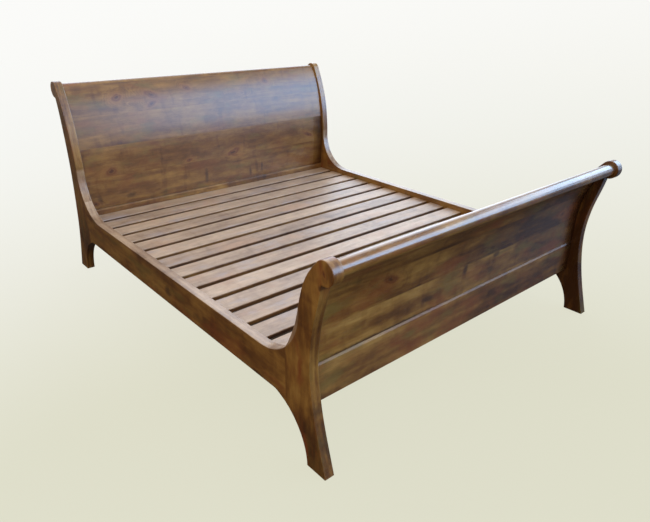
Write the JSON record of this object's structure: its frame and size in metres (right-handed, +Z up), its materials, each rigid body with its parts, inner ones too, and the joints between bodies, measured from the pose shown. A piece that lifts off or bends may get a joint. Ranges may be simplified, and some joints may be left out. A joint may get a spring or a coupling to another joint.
{
  "type": "sleigh bed",
  "caption": "Timber king bed with tall scrolled head posts, lower scrolled foot posts, curved end boards, swept side rails and a slatted base with centre legs.",
  "frame": {"origin": "on the floor, under the middle of the whole bed", "axes": "+Z up, +Y from the foot end towards the headboard, +X to the right seen from the foot end"},
  "size_m": [1.94, 2.46, 1.15],
  "materials": {
    "post_timber": "walnut-stained solid timber, satin lacquer, grain upright",
    "rail_timber": "walnut-stained solid timber, satin lacquer, grain along the rail",
    "roll_timber": "walnut-stained turned rail, satin-gloss lacquer",
    "panel_timber": "walnut-stained knotty boards, satin-gloss lacquer",
    "slat_timber": "walnut-stained slats, satin lacquer",
    "base_timber": "stained timber, thin lacquer, out of sight",
    "dowel_timber": "plain beech dowel",
    "plate_steel": "black powder-coated steel",
    "zinc_steel": "bright zinc-plated steel"
  },
  "bodies": {
    "root": {"foot_post_left": "post_timber", "head_post_left": "post_timber", "side_rail_left": "rail_timber", "slat_ledger_left": "base_timber", "joining_plate_foot_left": "plate_steel", "joining_plate_head_left": "plate_steel", "foot_post_right": "post_timber", "head_post_right": "post_timber", "side_rail_right": "rail_timber", "slat_ledger_right": "base_timber", "joining_plate_foot_right": "plate_steel", "joining_plate_head_right": "plate_steel", "footboard_roll": "roll_timber", "headboard_roll": "roll_timber", "footboard_bottom_rail": "rail_timber", "headboard_bottom_rail": "rail_timber", "footboard_board_1": "panel_timber", "footboard_board_2": "panel_timber", "footboard_board_3": "panel_timber", "headboard_board_1": "panel_timber", "headboard_board_2": "panel_timber", "headboard_board_3": "panel_timber", "headboard_board_4": "panel_timber", "slat_01": "slat_timber", "slat_02": "slat_timber", "slat_03": "slat_timber", "slat_04": "slat_timber", "slat_05": "slat_timber", "slat_06": "slat_timber", "slat_07": "slat_timber", "slat_08": "slat_timber", "slat_09": "slat_timber", "slat_10": "slat_timber", "slat_11": "slat_timber", "slat_12": "slat_timber", "slat_13": "slat_timber", "slat_14": "slat_timber", "slat_15": "slat_timber", "centre_beam": "base_timber", "beam_hanger_foot": "plate_steel", "beam_hanger_head": "plate_steel", "centre_leg_1": "base_timber", "centre_leg_2": "base_timber", "centre_leg_3": "base_timber", "rail_dowels": "dowel_timber", "plate_bolts": "zinc_steel", "ledger_screws": "zinc_steel", "slat_screws": "zinc_steel", "hanger_screws": "zinc_steel", "leg_bolts": "zinc_steel"}
  },
  "joints": []
}
